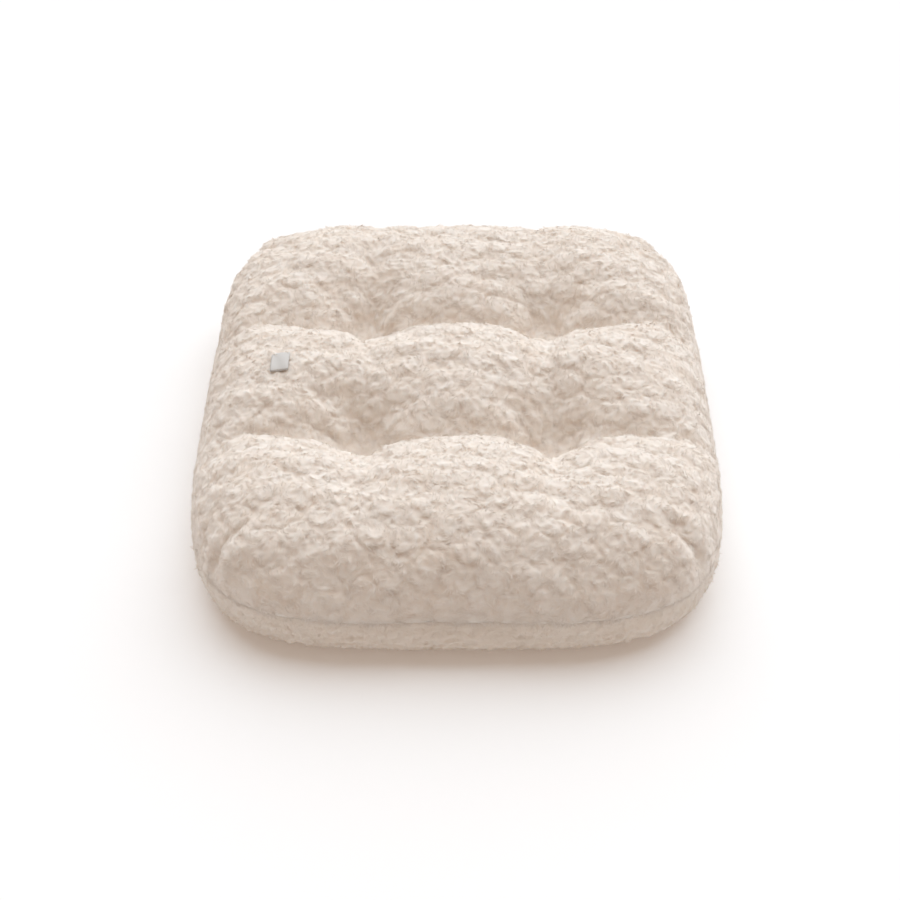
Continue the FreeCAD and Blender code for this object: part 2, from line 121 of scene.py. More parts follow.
class NodeKit:
    """Builds the nodes of one material."""

    def __init__(self, name: str) -> None:
        """Starts a material with an empty node tree.

        Args:
            name: the material's name.
        """
        self.material = bpy.data.materials.new(name)
        self.material.use_nodes = True
        self.tree = self.material.node_tree
        self.tree.nodes.clear()

    def node(self, kind: str, settings: dict[str, Any], inputs: dict[Any, Value],
             output: Any = 0) -> Wire:
        """Adds a node.

        Args:
            kind: the node's type.
            settings: properties that are set before anything is linked.
            inputs: a value or a wire for each socket, by name or number.
            output: the socket that is wanted from it, by name or number.

        Returns:
            The wanted output.
        """
        made = self.tree.nodes.new(kind)
        for key, setting in settings.items():
            setattr(made, key, setting)
        for key, value in inputs.items():
            if isinstance(value, Wire):
                self.tree.links.new(value.socket, made.inputs[key])
            else:
                made.inputs[key].default_value = value
        return Wire(self, made.outputs[output])

    def place(self) -> Wire:
        """Object coordinates."""
        return self.node("ShaderNodeTexCoord", {}, {}, "Object")

    def attribute(self, name: str) -> Wire:
        """A number kept on the mesh's points."""
        return self.node("ShaderNodeAttribute", {"attribute_name": name}, {}, "Fac")

    def noise(self, size: float, detail: float) -> Wire:
        """Noise on the piece's own coordinates.

        Args:
            size: how large its lumps are, in metres.
            detail: octaves.

        Returns:
            A value from 0 to 1.
        """
        inputs = {"Vector": self.place(), "Scale": 1.0 / size, "Detail": detail}
        return self.node("ShaderNodeTexNoise", {"noise_dimensions": "3D"}, inputs, 0)

    def bands(self, direction: str, scale: float, distortion: float) -> Wire:
        """Even bands across a direction, from 0 to 1."""
        inputs = {"Vector": self.place(), "Scale": scale, "Distortion": distortion}
        return self.node("ShaderNodeTexWave", {"bands_direction": direction}, inputs, 1)

    def bump(self, height: Value, strength: float, distance: float) -> Wire:
        """A relief that only turns the light."""
        inputs = {"Strength": strength, "Distance": distance, "Height": height}
        return self.node("ShaderNodeBump", {}, inputs)

    def mix(self, factor: Value, low: Value, high: Value) -> Wire:
        """Mixes two colours by a factor."""
        inputs = {0: factor, 6: low, 7: high}
        return self.node("ShaderNodeMix", {"data_type": "RGBA"}, inputs, 2)

    def finish(self, shader_inputs: dict[str, Value]) -> bpy.types.Material:
        """Adds the Principled shader and the output.

        Args:
            shader_inputs: a value or a wire for each of the shader's sockets.

        Returns:
            The material.
        """
        shader = self.node("ShaderNodeBsdfPrincipled", {}, shader_inputs)
        target = self.tree.nodes.new("ShaderNodeOutputMaterial")
        self.tree.links.new(shader.socket, target.inputs["Surface"])
        return self.material


def rgba(colour: Colour) -> tuple[float, float, float, float]:
    """A colour with full alpha."""
    return (*colour, 1.0)


def darker(colour: Colour, share: float) -> tuple[float, float, float, float]:
    """A colour at a share of its brightness, with full alpha."""
    return rgba(tuple(share * part for part in colour))


# ------------------------------------------------------------------- finishes


PANEL_SCATTER = 0.6
PILE_SCATTER = {"Subsurface Scale": 4 * MM, "Subsurface Radius": (1.0, 0.9, 0.82)}


@dataclass(frozen=True)
class PlushFinish:
    """Curled pile, pale at its tips and with fine fibre on it; painted shade darkens and warms it where
    the pile is deep.
    """

    tip: Colour = (0.875, 0.83, 0.785)
    deep_shade: Colour = (0.80, 0.69, 0.59)
    patch: float = 45 * MM
    clump: float = 5 * MM
    fibre: float = 1.1 * MM
    relief: float = 0.4 * MM

    def material(self, name: str, scatter: float = 0.0) -> bpy.types.Material:
        """Builds the plush material.

        Args:
            name: the material's name.
            scatter: how much light goes through the pile; none for loose locks.

        Returns:
            The material.
        """
        kit = NodeKit(name)
        depth = kit.attribute("pile")
        patch = kit.noise(self.patch, 1.0)
        clump = kit.noise(self.clump, 3.0)
        fibre = kit.noise(self.fibre, 2.0)
        # Painted shade: the pile number darkens and warms the colour where the pile is deep; the noises
        # vary its tone at random.
        share = depth * 0.6 + (clump - 0.5) * 0.3 + (patch - 0.5) * 0.3 + (fibre - 0.5) * 0.5 + 0.25
        colour = kit.mix(share, rgba(self.deep_shade), rgba(self.tip))
        bump = kit.bump(fibre + clump * 0.6, 0.15, self.relief)
        return kit.finish({
            "Base Color": colour,
            "Roughness": 0.94,
            "Sheen Weight": 0.4,
            "Sheen Roughness": 0.55,
            "Subsurface Weight": scatter,
            **PILE_SCATTER,
            "Sheen Tint": (1.0, 0.95, 0.9, 1.0),
            "Specular IOR Level": 0.15,
            "Normal": bump,
        })


@dataclass(frozen=True)
class FleeceFinish:
    """Short even nap in the same cream, a little duller than the plush."""

    light: Colour = (0.88, 0.81, 0.74)
    dark: Colour = (0.80, 0.71, 0.62)
    nap: float = 1.6 * MM
    cloud: float = 22 * MM
    relief: float = 0.8 * MM

    def material(self, name: str, scatter: float = 0.0) -> bpy.types.Material:
        """Builds the fleece material.

        Args:
            name: the material's name.
            scatter: how much light goes through the nap; none for loose locks.

        Returns:
            The material.
        """
        kit = NodeKit(name)
        nap = kit.noise(self.nap, 3.0)
        cloud = kit.noise(self.cloud, 2.0)
        colour = kit.mix(nap * 0.6 + cloud * 0.5 - 0.05, rgba(self.dark), rgba(self.light))
        bump = kit.bump(nap, 0.7, self.relief)
        return kit.finish({
            "Base Color": colour,
            "Roughness": 0.95,
            "Sheen Weight": 0.4,
            "Sheen Roughness": 0.5,
            "Subsurface Weight": scatter,
            **PILE_SCATTER,
            "Specular IOR Level": 0.12,
            "Normal": bump,
        })


@dataclass(frozen=True)
class ThreadFinish:
    """Twisted polyester thread."""

    colour: Colour = (0.74, 0.67, 0.59)
    groove_shade: float = 0.72
    twists: float = 900.0
    relief: float = 0.15 * MM

    def material(self) -> bpy.types.Material:
        """Builds the thread material."""
        kit = NodeKit("thread")
        wave = kit.bands("DIAGONAL", self.twists, 0.4)
        colour = kit.mix(wave, darker(self.colour, self.groove_shade), rgba(self.colour))
        bump = kit.bump(wave, 0.6, self.relief)
        return kit.finish({
            "Base Color": colour,
            "Roughness": 0.6,
            "Sheen Weight": 0.15,
            "Specular IOR Level": 0.35,
            "Normal": bump,
        })


@dataclass(frozen=True)
class LabelFinish:
    """Blank woven satin tape, a cool pale grey against the cream."""

    colour: Colour = (0.66, 0.645, 0.625)
    gap_shade: float = 0.84
    warp: float = 520.0
    weft: float = 420.0
    relief: float = 0.12 * MM

    def material(self) -> bpy.types.Material:
        """Builds the label material."""
        kit = NodeKit("label")
        weave = kit.bands("X", self.warp, 0.15) * 0.5 + kit.bands("Y", self.weft, 0.15) * 0.5
        colour = kit.mix(weave, darker(self.colour, self.gap_shade), rgba(self.colour))
        bump = kit.bump(weave, 0.5, self.relief)
        return kit.finish({
            "Base Color": colour,
            "Roughness": 0.5,
            "Sheen Weight": 0.1,
            "Specular IOR Level": 0.4,
            "Normal": bump,
        })


@dataclass(frozen=True)
class FloorFinish:
    """Plain white studio floor with a faint warm glow, though it is no lamp: painted light that lifts
    the shadow on it.
    """

    # A little cool, so that the lit floor with the warm painted glow added still comes out white.
    colour: Colour = (0.88, 0.905, 0.93)
    painted_fill_glow: Colour = (0.12, 0.095, 0.08)

    def material(self) -> bpy.types.Material:
        """Builds the floor material."""
        kit = NodeKit("floor")
        return kit.finish({
            "Base Color": rgba(self.colour),
            # Painted light: the floor's own glow lightens and warms its shadow.
            "Emission Color": rgba(self.painted_fill_glow),
            "Emission Strength": 1.0,
            "Roughness": 0.9,
            "Specular IOR Level": 0.05,
        })


# -------------------------------------------------------------- mesh handling


def only(piece: bpy.types.Object) -> None:
    """Makes one object the active and the only selected one."""
    if bpy.context.object and bpy.context.object.mode != "OBJECT":
        bpy.ops.object.mode_set(mode="OBJECT")
    bpy.ops.object.select_all(action="DESELECT")
    piece.select_set(True)
    bpy.context.view_layer.objects.active = piece


def points_of(mesh: bpy.types.Mesh) -> np.ndarray:
    """The mesh's points, one row each."""
    flat = np.empty(len(mesh.vertices) * 3, dtype=np.float64)
    mesh.vertices.foreach_get("co", flat)
    return flat.reshape(-1, 3)


def set_points(mesh: bpy.types.Mesh, points: np.ndarray) -> None:
    """Writes the mesh's points back."""
    mesh.vertices.foreach_set("co", np.ascontiguousarray(points, dtype=np.float64).ravel())
    mesh.update()


def normals_of(mesh: bpy.types.Mesh) -> np.ndarray:
    """The mesh's normals at its points."""
    flat = np.empty(len(mesh.vertices) * 3, dtype=np.float64)
    mesh.vertices.foreach_get("normal", flat)
    return flat.reshape(-1, 3)


def set_number(mesh: bpy.types.Mesh, name: str, values: np.ndarray) -> None:
    """Keeps one number on each point of the mesh."""
    layer = mesh.attributes.new(name, "FLOAT", "POINT")
    layer.data.foreach_set("value", np.ascontiguousarray(values, dtype=np.float32))


def smoothstep(low: float, high: float, values: np.ndarray) -> np.ndarray:
    """Smooth rise from 0 at low to 1 at high; it falls instead when low is above high."""
    share = np.clip((values - low) / (high - low), 0.0, 1.0)
    return share * share * (3.0 - 2.0 * share)


def unit(vectors: np.ndarray) -> np.ndarray:
    """Rows scaled to length one."""
    lengths = np.linalg.norm(vectors, axis=1, keepdims=True)
    return vectors / np.maximum(lengths, 1e-12)


def apply_modifier(piece: bpy.types.Object, modifier: bpy.types.Modifier) -> None:
    """Applies one modifier of an object."""
    only(piece)
    bpy.ops.object.modifier_apply(modifier=modifier.name)


def subdivide(piece: bpy.types.Object, levels: int) -> None:
    """Applies a subdivision surface."""
    modifier = piece.modifiers.new("subdivision", "SUBSURF")
    modifier.levels = levels
    modifier.render_levels = levels
    apply_modifier(piece, modifier)


def shade_smooth(piece: bpy.types.Object) -> None:
    """Smooth shading all over."""
    piece.data.polygons.foreach_set("use_smooth", np.ones(len(piece.data.polygons), dtype=bool))
    piece.data.update()


def object_from(name: str, points: np.ndarray, faces: np.ndarray) -> bpy.types.Object:
    """A new mesh object at the origin.

    Args:
        name: its name.
        points: one row for each point.
        faces: one row of point numbers for each face, all faces with as many corners.

    Returns:
        The object, linked to the scene.
    """
    mesh = bpy.data.meshes.new(name)
    mesh.from_pydata(points.tolist(), [], faces.tolist())
    piece = bpy.data.objects.new(name, mesh)
    bpy.context.scene.collection.objects.link(piece)
    return piece


def dress(piece: bpy.types.Object, material: bpy.types.Material) -> None:
    """Gives a piece one material all over."""
    piece.data.materials.clear()
    piece.data.materials.append(material)


class Ripples:
    """Smooth seeded noise in space: a sum of waves in scattered directions."""

    def __init__(self, size: float, seed: int, waves: int = 14) -> None:
        """Draws the waves.

        Args:
            size: distance from one swell to the next, in metres.
            seed: makes the result the same on each run.
            waves: how many waves are added.
        """
        draw = np.random.default_rng(seed)
        directions = unit(draw.normal(size=(waves, 3)))
        stretch = draw.uniform(0.75, 1.45, size=(waves, 1))
        self.waves = directions * stretch * (2.0 * math.pi / size)
        self.phases = draw.uniform(0.0, 2.0 * math.pi, size=waves)
        self.scale = math.sqrt(2.0 / waves)

    def at(self, points: np.ndarray) -> np.ndarray:
        """The noise at each point, mostly between -1.5 and 1.5."""
        return np.sin(points @ self.waves.T + self.phases).sum(axis=1) * self.scale


# --------------------------------------------------------------- stuffed form


@dataclass(frozen=True)
class Tufting:
    """What the ties draw into the cushion.

    Valleys run along the rows and the columns of ties and flatten towards the sides. Each tie has
    a pit that is steeper in front, a funnel that opens behind it, and folds in a ring round it.
    """

    row_valley: float = 27 * MM
    column_valley: float = 10 * MM
    valley_width: float = 27 * MM
    valley_round: float = 5 * MM
    row_loss: float = 0.75
    column_loss: float = 0.9
    loss_from: float = 0.55
    pit_depth: float = 30 * MM
    pit_width: float = 19 * MM
    pit_power: float = 1.3
    pit_front: float = 1.7
    pit_floor: float = 53 * MM
    funnel_depth: float = 22 * MM
    funnel_run: float = 58 * MM
    funnel_front: float = 20 * MM
    funnel_mouth: float = 20 * MM
    funnel_spread: float = 0.7
    hollow_depth: float = 12 * MM
    hollow_rim: float = 27 * MM
    hollow_floor: float = 6 * MM
    hollow_below: float = 20 * MM
    tie_bite: float = 8 * MM
    tie_bite_run: float = 11 * MM
    row_bite: float = 3.5 * MM
    row_bite_run: float = 7 * MM
    fold: float = 1.4 * MM
    fold_ring: float = 36 * MM
    fold_run: float = 24 * MM
    long_fold: float = 0.8 * MM
    long_fold_gap: float = 70 * MM

    def valley(self, distance: np.ndarray) -> np.ndarray:
        """Cross-section of a valley: 1 on its line, with a tight but not sharp bottom."""
        rounded = np.sqrt(distance ** 2 + self.valley_round ** 2) - self.valley_round
        return np.exp(-rounded / self.valley_width)

    def pit(self, aside: np.ndarray, behind: np.ndarray) -> np.ndarray:
        """Depth of the pit at a distance aside from its tie and behind it."""
        away = np.hypot(aside, behind * np.where(behind < 0.0, self.pit_front, 1.0))
        return self.pit_depth * np.exp(-((away / self.pit_width) ** self.pit_power))

    def funnel(self, aside: np.ndarray, behind: np.ndarray) -> np.ndarray:
        """Depth of the funnel at a distance aside from its tie and behind it."""
        reach = np.where(behind < 0.0, self.funnel_front, self.funnel_run)
        breadth = self.funnel_mouth + self.funnel_spread * np.maximum(behind, 0.0)
        return self.funnel_depth * np.exp(-((behind / reach) ** 2) - (aside / breadth) ** 2)

    def bite(self, aside: np.ndarray, behind: np.ndarray) -> np.ndarray:
        """How far the cloth at a tie is drawn in once more after it is blown up."""
        return self.tie_bite * np.exp(-np.hypot(aside, behind) / self.tie_bite_run)

    def folds(self, aside: np.ndarray, behind: np.ndarray, number: int) -> np.ndarray:
        """The folds round one tie, of about unit height and different at each tie."""
        angle = np.arctan2(behind, aside)
        wave = np.sin(6.0 * angle + 1.7 * number) + 0.6 * np.sin(11.0 * angle + 2.9 * number)
        ring = (np.hypot(aside, behind) - self.fold_ring) / self.fold_run
        return wave * np.exp(-(ring ** 2))


@dataclass(frozen=True)
class CornerTuck:
    """The tuck at each corner: a crease that is drawn in, with a ridge of cloth beside it.

    Its angle is seen from the middle of the corner's round. The ridge's place and width are shares
    of the crease's width.
    """

    corner: float = 135 * MM
    angle: float = math.radians(38.0)
    width: float = 7.5 * MM
    depth: float = 6.5 * MM
    ridge: float = 3.0 * MM
    ridge_aside: float = 2.2
    ridge_width: float = 1.6
    rise: float = 16 * MM
    fades_from: float = 84 * MM
    ends_at: float = 104 * MM

    def pull(self, across: np.ndarray, along: np.ndarray, reach: np.ndarray) -> np.ndarray:
        """How far the cloth is drawn in; it is below 0 on the ridge.

        Args:
            across: distance from the middle of the corner's round, to the side.
            along: the same, to the front or the rear.
            reach: how strong the tuck is at this height, from 0 to 1.

        Returns:
            The distance, 0 outside the corner.
        """
        offset = np.arctan2(along, across) - self.angle
        width = self.width / self.corner
        crease = self.depth * np.exp(-((offset / width) ** 2)) * reach
        beside = (offset - self.ridge_aside * width) / (self.ridge_width * width)
        ridge = self.ridge * np.exp(-(beside ** 2)) * reach
        return np.where((across > 0.0) & (along > 0.0), crease - ridge, 0.0)


@dataclass
class StuffedForm:
    """The cushion as one closed stuffed shape, before the pile is put on it.

    Lengths are in metres. The outline is a rounded rectangle whose sides bow out a little, and the
    profile is full. The foot would end below the floor by foot_sink, and is flat where it meets it.
    The ties' pull starts at pull_from above the seam and is whole at pull_full below the top.
    """

    half_width: float
    half_depth: float
    height: float
    seam_height: float
    tufts: list[tuple[float, float]]
    plan_power: float = 4.3
    rear_plan_power: float = 5.0
    profile_power: float = 2.7
    foot_power: float = 3.6
    foot_sink: float = 20 * MM
    crown: float = 4 * MM
    tufting: Tufting = Tufting()
    corner_tuck: CornerTuck = CornerTuck()
    seam_bite: float = 0.3 * MM
    seam_bite_run: float = 4 * MM
    block_cuts: int = 48
    pull_from: float = 4 * MM
    pull_full: float = 24 * MM
    bite_full: float = 40 * MM
    voxel: float = 5 * MM
    pressure: float = 4.0
    frames: int = 20
    cap: float = 9 * MM
    held_round_tie: float = 7 * MM
    held_below: float = 14 * MM
    piece: bpy.types.Object = field(init=False)

    def build(self) -> bpy.types.Object:
        """Shapes the form, blows it up and returns it."""
        self.piece = self.start()
        self.remesh()
        self.tuft()
        self.inflate()
        self.tighten()
        self.tuck_corners()
        self.settle()
        return self.piece

    def start(self) -> bpy.types.Object:
        """A rounded block on the outline and the profile, not yet tufted."""
        bpy.ops.object.select_all(action="DESELECT")
        bpy.ops.mesh.primitive_cube_add(size=2.0, location=(0.0, 0.0, 0.0))
        piece = bpy.context.object
        piece.name = "stuffed_form"
        bpy.ops.object.mode_set(mode="EDIT")
        bpy.ops.mesh.select_all(action="SELECT")
        bpy.ops.mesh.subdivide(number_cuts=self.block_cuts)
        bpy.ops.object.mode_set(mode="OBJECT")
        cube = points_of(piece.data)
        square = np.where(cube[:, 1] > 0.0, self.rear_plan_power, self.plan_power)
        plan = (np.abs(cube[:, 0]) ** square + np.abs(cube[:, 1]) ** square) ** (1.0 / square)
        power = np.where(cube[:, 2] > 0.0, self.profile_power, self.foot_power)
        reach = (plan ** power + np.abs(cube[:, 2]) ** power) ** (1.0 / power)
        ball = cube / reach[:, None]
        top = self.height - self.seam_height - self.crown
        low = self.seam_height + self.foot_sink
        rise = np.where(ball[:, 2] > 0.0, ball[:, 2] * top, ball[:, 2] * low)
        points = np.column_stack([
            ball[:, 0] * self.half_width,
            ball[:, 1] * self.half_depth,
            self.seam_height + rise,
        ])
        points[:, 2] = np.maximum(points[:, 2], 0.0)
        set_points(piece.data, points)
        return piece

    def remesh(self) -> None:
        """Even squares all over."""
        modifier = self.piece.modifiers.new("voxels", "REMESH")
        modifier.mode = "VOXEL"
        modifier.voxel_size = self.voxel
        apply_modifier(self.piece, modifier)

    def tuft_pull(self, points: np.ndarray) -> np.ndarray:
        """How far each point of the top is pulled down by the ties."""
        x, y = points[:, 0], points[:, 1]
        tufting = self.tufting
        rows = sorted({round(at[1], 4) for at in self.tufts})
        columns = sorted({round(at[0], 4) for at in self.tufts})
        outer_x = smoothstep(tufting.loss_from, 1.0, np.abs(x) / self.half_width)
        outer_y = smoothstep(tufting.loss_from, 1.0, np.abs(y) / self.half_depth)
        across = 1.0 - tufting.row_loss * outer_x
        along = 1.0 - tufting.column_loss * outer_y
        row = np.max([tufting.valley(y - at) for at in rows], axis=0)
        column = np.max([tufting.valley(x - at) for at in columns], axis=0)
        pull = tufting.row_valley * row * across + tufting.column_valley * column * along
        for at_x, at_y in self.tufts:
            aside, behind = x - at_x, y - at_y
            pull = pull + tufting.pit(aside, behind)
            pull = pull + tufting.funnel(aside, behind)
        return pull

    def tuft(self) -> None:
        """Pulls the top down at the ties and hollows the underside below them."""
        tufting = self.tufting
        points = points_of(self.piece.data)
        upper = smoothstep(self.seam_height + self.pull_from, self.height - self.pull_full, points[:, 2])
        pulled = points[:, 2] - self.tuft_pull(points) * upper
        points[:, 2] = np.where(upper > 0.0, np.maximum(pulled, tufting.pit_floor * upper), pulled)
        for at_x, at_y in self.tufts:
            away = np.hypot(points[:, 0] - at_x, points[:, 1] - at_y)
            lift = tufting.hollow_depth * smoothstep(tufting.hollow_rim, tufting.hollow_floor, away)
            under = points[:, 2] < tufting.hollow_below
            points[:, 2] = np.where(under, points[:, 2] + lift, points[:, 2])
        set_points(self.piece.data, points)

    def inflate(self) -> None:
        """Blows the form up as cloth, held at the ties and on the floor."""
        start = points_of(self.piece.data)
        away = np.min([np.hypot(start[:, 0] - x, start[:, 1] - y) for x, y in self.tufts], axis=0)
        held = (away < self.held_round_tie) | (start[:, 2] < self.held_below)
        group = self.piece.vertex_groups.new(name="held")
        group.add(np.flatnonzero(held).tolist(), 1.0, "REPLACE")
        cloth = self.piece.modifiers.new("cloth", "CLOTH")
        cloth.settings.use_pressure = True
        cloth.settings.uniform_pressure_force = self.pressure
        cloth.settings.effector_weights.gravity = 0.0
        cloth.settings.vertex_group_mass = "held"
        cloth.settings.quality = 4
        cloth.collision_settings.use_collision = False
        cloth.point_cache.frame_start = 1
        cloth.point_cache.frame_end = self.frames
        for number in range(1, self.frames + 1):
            bpy.context.scene.frame_set(number)
        apply_modifier(self.piece, cloth)
        bpy.context.scene.frame_set(1)
        moved = points_of(self.piece.data) - start
        length = np.linalg.norm(moved, axis=1, keepdims=True)
        limit = self.cap * np.tanh(length / self.cap) / np.maximum(length, 1e-9)
        set_points(self.piece.data, start + moved * limit)
        LOG.info("form blown up: largest move %.1f mm", 1000.0 * float(length.max()))

    def tighten(self) -> None:
        """Draws the ties and the rows tight again and lays the folds that run out from them."""
        mesh, tufting = self.piece.data, self.tufting
        points, normals = points_of(mesh), normals_of(mesh)
        upper = smoothstep(self.seam_height, self.height - self.bite_full, points[:, 2])
        upper = upper * smoothstep(0.1, 0.5, normals[:, 2] + 0.3)
        row = np.max([
            np.exp(-np.abs(points[:, 1] - at) / tufting.row_bite_run)
            for at in {at[1] for at in self.tufts}
        ], axis=0)
        inner = 1.0 - smoothstep(0.6, 0.95, np.abs(points[:, 0]) / self.half_width)
        pull = tufting.row_bite * row * inner
        folds = np.zeros(len(points))
        for number, (at_x, at_y) in enumerate(self.tufts):
            aside, behind = points[:, 0] - at_x, points[:, 1] - at_y
            pull = pull + tufting.bite(aside, behind)
            folds = folds + tufting.folds(aside, behind, number)
        stretched = points * np.array([1.0, 2.2, 1.0])
        long_folds = Ripples(tufting.long_fold_gap, 5, 6).at(stretched)
        swell = (tufting.fold * folds + tufting.long_fold * long_folds) * upper
        points = points + normals * swell[:, None]
        points[:, 2] = points[:, 2] - pull * upper
        set_points(mesh, points)

    def tuck_corners(self) -> None:
        """Draws in the tuck at each corner and the cloth along the side seam."""
        mesh, tuck = self.piece.data, self.corner_tuck
        points, normals = points_of(mesh), normals_of(mesh)
        x, y, z = points.T
        seam = self.seam_bite * np.exp(-(((z - self.seam_height) / self.seam_bite_run) ** 2))
        outward = unit(np.column_stack([normals[:, 0], normals[:, 1], np.zeros(len(x))]))
        steep = 1.0 - np.abs(normals[:, 2])
        reach = smoothstep(self.seam_height, self.seam_height + tuck.rise, z)
        reach = reach * smoothstep(tuck.ends_at, tuck.fades_from, z)
        across = np.abs(x) - (self.half_width - tuck.corner)
        along = np.abs(y) - (self.half_depth - tuck.corner)
        pull = tuck.pull(across, along, reach) + seam * steep
        set_points(mesh, points - outward * pull[:, None])

    def settle(self) -> None:
        """Rests the form on the floor."""
        mesh = self.piece.data
        points = points_of(mesh)
        points[:, 2] = np.maximum(points[:, 2], 0.0)
        set_points(mesh, points)
        box = points.min(axis=0), points.max(axis=0)
        LOG.info("form: %s to %s mm", np.round(box[0] * 1000, 1), np.round(box[1] * 1000, 1))

    def half(self, name: str, upper: bool, levels: int, above: float = 0.0) -> bpy.types.Object:
        """One of the two panels' outer faces, cut at the seam and refined.

        Args:
            name: the new piece's name.
            upper: the plush side if true, else the fleece side.
            levels: how many times its squares are divided.
            above: how far over the seam it is cut.

        Returns:
            The open shell; its edge follows the seam.
        """
        only(self.piece)
        bpy.ops.object.duplicate()
        shell = bpy.context.object
        shell.name = name
        shell.data.name = name
        shell.vertex_groups.clear()
        bpy.ops.object.mode_set(mode="EDIT")
        bpy.ops.mesh.select_all(action="SELECT")
        bpy.ops.mesh.bisect(plane_co=(0.0, 0.0, self.seam_height + above), plane_no=(0.0, 0.0, 1.0),
                            clear_inner=upper, clear_outer=not upper, threshold=0.0001)
        bpy.ops.object.mode_set(mode="OBJECT")
        if levels:
            subdivide(shell, levels)
        return shell


def close_along_seam(shell: bpy.types.Object, seam_height: float, inwards: float) -> None:
    """Turns a panel's open edge inside and closes the shell.

    Args:
        shell: a panel with one open edge at the seam.
        seam_height: where the turned-in cloth lies.
        inwards: how much of it there is.
    """
    only(shell)
    bpy.ops.object.mode_set(mode="EDIT")
    bpy.ops.mesh.select_mode(type="EDGE")
    bpy.ops.mesh.select_all(action="DESELECT")
    bpy.ops.mesh.select_non_manifold()
    bpy.ops.mesh.extrude_edges_move()
    bpy.ops.object.mode_set(mode="OBJECT")
    chosen = np.zeros(len(shell.data.vertices), dtype=bool)
    shell.data.vertices.foreach_get("select", chosen)
    points = points_of(shell.data)
    edge = points[chosen]
    shrink = 1.0 - inwards / np.abs(edge[:, :2]).max(axis=0)
    points[chosen, 0] = edge[:, 0] * shrink[0]
    points[chosen, 1] = edge[:, 1] * shrink[1]
    points[chosen, 2] = seam_height
    set_points(shell.data, points)
    bpy.ops.object.mode_set(mode="EDIT")
    bpy.ops.mesh.edge_face_add()
    bpy.ops.mesh.select_all(action="SELECT")
    bpy.ops.mesh.normals_make_consistent(inside=False)
    bpy.ops.object.mode_set(mode="OBJECT")


# ------------------------------------------------------------------ the plush


class Turn(Enum):
    """Which way a curl winds."""

    LEFT = -1
    RIGHT = 1


